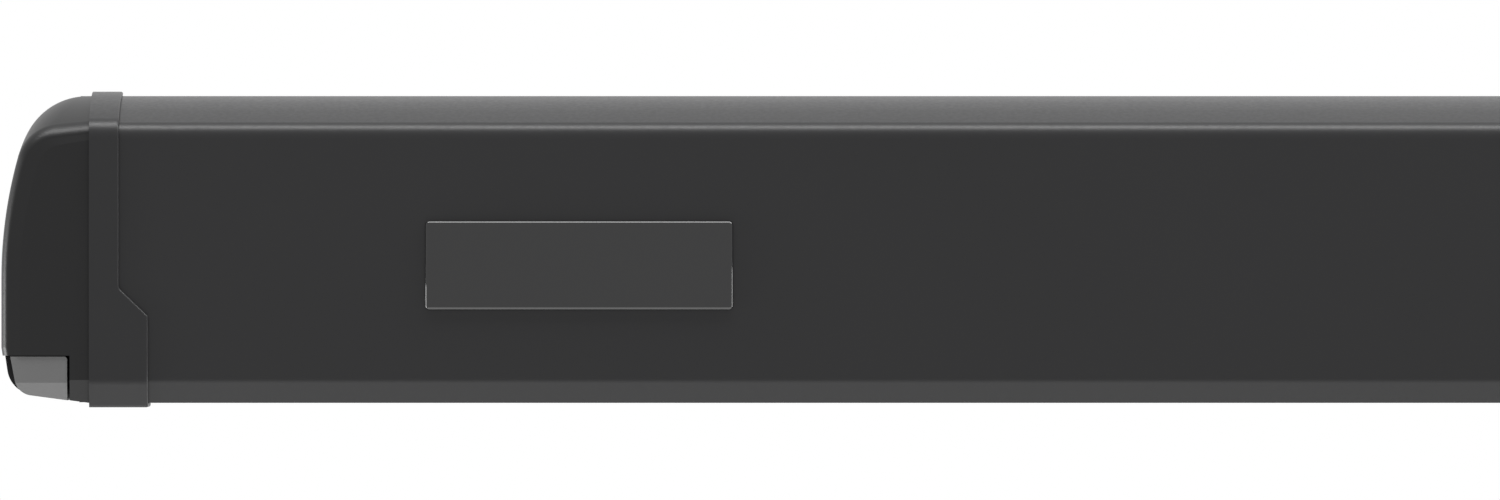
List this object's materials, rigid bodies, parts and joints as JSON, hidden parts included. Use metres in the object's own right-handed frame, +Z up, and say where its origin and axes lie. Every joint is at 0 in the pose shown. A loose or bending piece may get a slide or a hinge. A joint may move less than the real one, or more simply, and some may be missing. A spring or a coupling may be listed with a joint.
{
  "type": "roll out awning",
  "caption": "Wall-mounted cassette awning with folding arms, a roller with fabric, a lead rail with curved hood and rounded end caps, and telescopic legs stored in the rail.",
  "frame": {"origin": "centre of the rectangle of the four wall bolt holes, in the wall plane", "axes": "+X along the case to the right of someone who faces it, -Y away from the wall, +Z up"},
  "size_m": [1.9, 0.1196, 0.1304],
  "materials": {
    "coated_rail": "satin powder coat, anthracite",
    "moulded_dark": "fine textured moulding, anthracite",
    "moulded_light": "smooth moulding, light grey",
    "gloss_badge": "glossy black, bare",
    "steel": "zinc plated",
    "cast_alloy": "die cast, satin",
    "anodised_tube": "anodised",
    "moulded_parts": "black nylon",
    "awning_fabric": "coated woven polyester",
    "seal_rubber": "extruded rubber"
  },
  "bodies": {
    "cassette": {"cassette_housing": "coated_rail", "wall_bracket_left": "steel", "wall_bracket_right": "steel", "case_fasteners": "steel", "end_plate_left": "cast_alloy", "end_plate_right": "cast_alloy", "end_cover_left": "moulded_dark", "end_cover_right": "moulded_dark", "gearbox": "moulded_parts", "roller_bushes": "moulded_parts", "hood_seal": "seal_rubber", "shoulder_bracket_left": "cast_alloy", "shoulder_bracket_right": "cast_alloy", "shoulder_pins": "steel", "fabric_lead": "awning_fabric"},
    "roller": {"roller_tube": "steel", "roller_plugs": "moulded_parts", "fabric_roll": "awning_fabric"},
    "crank": {"crank_shaft": "steel"},
    "upper_arm_left": {"shoulder_end_left": "cast_alloy", "upper_tube_left": "anodised_tube", "elbow_fork_left": "cast_alloy", "elbow_pin_left": "steel"},
    "upper_arm_right": {"shoulder_end_right": "cast_alloy", "upper_tube_right": "anodised_tube", "elbow_fork_right": "cast_alloy", "elbow_pin_right": "steel"},
    "forearm_left": {"elbow_end_left": "cast_alloy", "forearm_tube_left": "anodised_tube", "front_end_left": "cast_alloy"},
    "forearm_right": {"elbow_end_right": "cast_alloy", "forearm_tube_right": "anodised_tube", "front_end_right": "cast_alloy"},
    "lead_rail": {"lead_rail": "coated_rail", "lead_brackets": "cast_alloy", "lead_pins": "steel", "lead_collar_left": "coated_rail", "lead_collar_right": "coated_rail", "lead_cap_left": "moulded_dark", "lead_cap_right": "moulded_dark", "corner_insert_left": "moulded_light", "corner_insert_right": "moulded_light", "badge_plate": "gloss_badge", "leg_pins": "steel", "leg_brackets": "steel", "fabric_keder": "awning_fabric"},
    "leg_left": {"leg_knuckle_left": "moulded_parts", "outer_leg_left": "anodised_tube", "outer_clamp_left": "moulded_parts"},
    "leg_middle_left": {"middle_leg_left": "anodised_tube", "middle_clamp_left": "moulded_parts"},
    "leg_inner_left": {"inner_leg_left": "anodised_tube", "leg_foot_left": "moulded_parts"},
    "leg_right": {"leg_knuckle_right": "moulded_parts", "outer_leg_right": "anodised_tube", "outer_clamp_right": "moulded_parts"},
    "leg_middle_right": {"middle_leg_right": "anodised_tube", "middle_clamp_right": "moulded_parts"},
    "leg_inner_right": {"inner_leg_right": "anodised_tube", "leg_foot_right": "moulded_parts"}
  },
  "joints": [
    {"name": "left_shoulder", "type": "hinge", "parent": "cassette", "child": "upper_arm_left", "pos_m": [-0.87, -0.049, -0.028], "axis": [0, 0.1045, -0.9945], "range_deg": [0, 74]},
    {"name": "left_elbow", "type": "hinge", "parent": "upper_arm_left", "child": "forearm_left", "pos_m": [-0.1301, -0.06093, -0.02925], "axis": [0, -0.1045, 0.9945], "range_deg": [0, 148]},
    {"name": "left_front_pivot", "type": "hinge", "parent": "forearm_left", "child": "lead_rail", "pos_m": [-0.87, -0.07287, -0.03051], "axis": [0, 0.1045, -0.9945], "range_deg": [0, 74]},
    {"name": "right_shoulder", "type": "hinge", "parent": "cassette", "child": "upper_arm_right", "pos_m": [0.87, -0.049, -0.028], "axis": [0, -0.1045, 0.9945], "range_deg": [0, 74]},
    {"name": "right_elbow", "type": "hinge", "parent": "upper_arm_right", "child": "forearm_right", "pos_m": [0.1301, -0.06093, -0.02925], "axis": [0, 0.1045, -0.9945], "range_deg": [0, 148]},
    {"name": "roller_turn", "type": "hinge", "parent": "cassette", "child": "roller", "pos_m": [0, -0.04, 0.0165], "axis": [1, 0, 0], "range_deg": [0, 3190]},
    {"name": "crank_turn", "type": "hinge", "parent": "cassette", "child": "crank", "pos_m": [0.933, -0.056, 0], "axis": [0, 0, 1], "range_deg": [0, 22300]},
    {"name": "left_leg_swing", "type": "hinge", "parent": "lead_rail", "child": "leg_left", "pos_m": [-0.88, -0.101, -0.033], "axis": [0, 1, 0], "range_deg": [0, 90]},
    {"name": "left_leg_middle", "type": "slide", "parent": "leg_left", "child": "leg_middle_left", "axis": [1, 0, 0], "range_m": [0, 0.6605]},
    {"name": "left_leg_inner", "type": "slide", "parent": "leg_middle_left", "child": "leg_inner_left", "axis": [1, 0, 0], "range_m": [0, 0.6405]},
    {"name": "right_leg_swing", "type": "hinge", "parent": "lead_rail", "child": "leg_right", "pos_m": [0.88, -0.101, -0.033], "axis": [0, -1, 0], "range_deg": [0, 90]},
    {"name": "right_leg_middle", "type": "slide", "parent": "leg_right", "child": "leg_middle_right", "axis": [-1, 0, 0], "range_m": [0, 0.6605]},
    {"name": "right_leg_inner", "type": "slide", "parent": "leg_middle_right", "child": "leg_inner_right", "axis": [-1, 0, 0], "range_m": [0, 0.6405]}
  ],
  "couplings": [
    {"joint": "left_elbow", "follows": "left_shoulder", "ratio": 2},
    {"joint": "left_front_pivot", "follows": "left_shoulder", "ratio": 1},
    {"joint": "right_shoulder", "follows": "left_shoulder", "ratio": 1},
    {"joint": "right_elbow", "follows": "left_shoulder", "ratio": 2},
    {"joint": "roller_turn", "follows": "left_shoulder", "ratio": 43},
    {"joint": "crank_turn", "follows": "left_shoulder", "ratio": 301},
    {"joint": "left_leg_middle", "follows": "left_leg_swing", "m_per_rad": 0.42017},
    {"joint": "left_leg_inner", "follows": "left_leg_swing", "m_per_rad": 0.40744},
    {"joint": "right_leg_middle", "follows": "right_leg_swing", "m_per_rad": 0.42017},
    {"joint": "right_leg_inner", "follows": "right_leg_swing", "m_per_rad": 0.40744}
  ]
}
